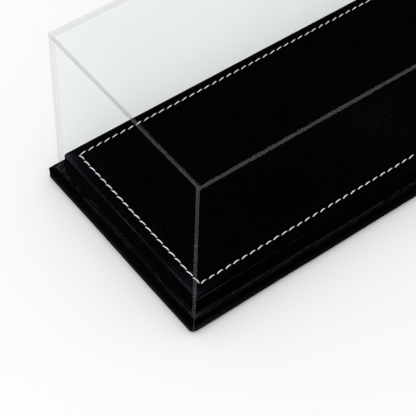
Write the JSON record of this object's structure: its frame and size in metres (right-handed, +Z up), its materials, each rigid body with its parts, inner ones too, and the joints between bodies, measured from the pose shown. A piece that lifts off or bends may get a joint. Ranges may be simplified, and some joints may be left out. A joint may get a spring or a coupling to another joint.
{
  "type": "acrylic display case",
  "caption": "Clear acrylic display cover that lifts off a two-step suede-wrapped plinth with a white stitched border.",
  "frame": {"origin": "middle of the surface that the feet stand on", "axes": "+X along the long side, +Y towards the back, +Z up"},
  "size_m": [0.2524, 0.1224, 0.1011],
  "materials": {
    "board": "bare fibreboard, fine matte texture",
    "edge_wood": "bare planed strip",
    "foam": "thin dark foam",
    "suede": "short black nap, lighter where it is worn along the edges",
    "thread": "white twisted thread",
    "lining": "black felt",
    "foot_rubber": "matte black rubber",
    "screw_steel": "zinc plated",
    "acrylic": "clear cast acrylic with polished edges"
  },
  "bodies": {
    "base": {"base_board": "board", "edge_strip_front": "edge_wood", "edge_strip_right": "edge_wood", "edge_strip_back": "edge_wood", "edge_strip_left": "edge_wood", "plinth_board": "board", "foam_pad": "foam", "plinth_suede": "suede", "rim_suede_front": "suede", "rim_suede_right": "suede", "rim_suede_back": "suede", "rim_suede_left": "suede", "stitches_front": "thread", "stitches_right": "thread", "stitches_back": "thread", "stitches_left": "thread", "bottom_lining": "lining", "feet": "foot_rubber", "wood_screws": "screw_steel"},
    "cover": {"cover_top_panel": "acrylic", "cover_front_panel": "acrylic", "cover_right_panel": "acrylic", "cover_back_panel": "acrylic", "cover_left_panel": "acrylic"}
  },
  "joints": [
    {"name": "cover_lift", "type": "slide", "parent": "base", "child": "cover", "axis": [0, 0, 1], "range_m": [0, 0.15]}
  ]
}
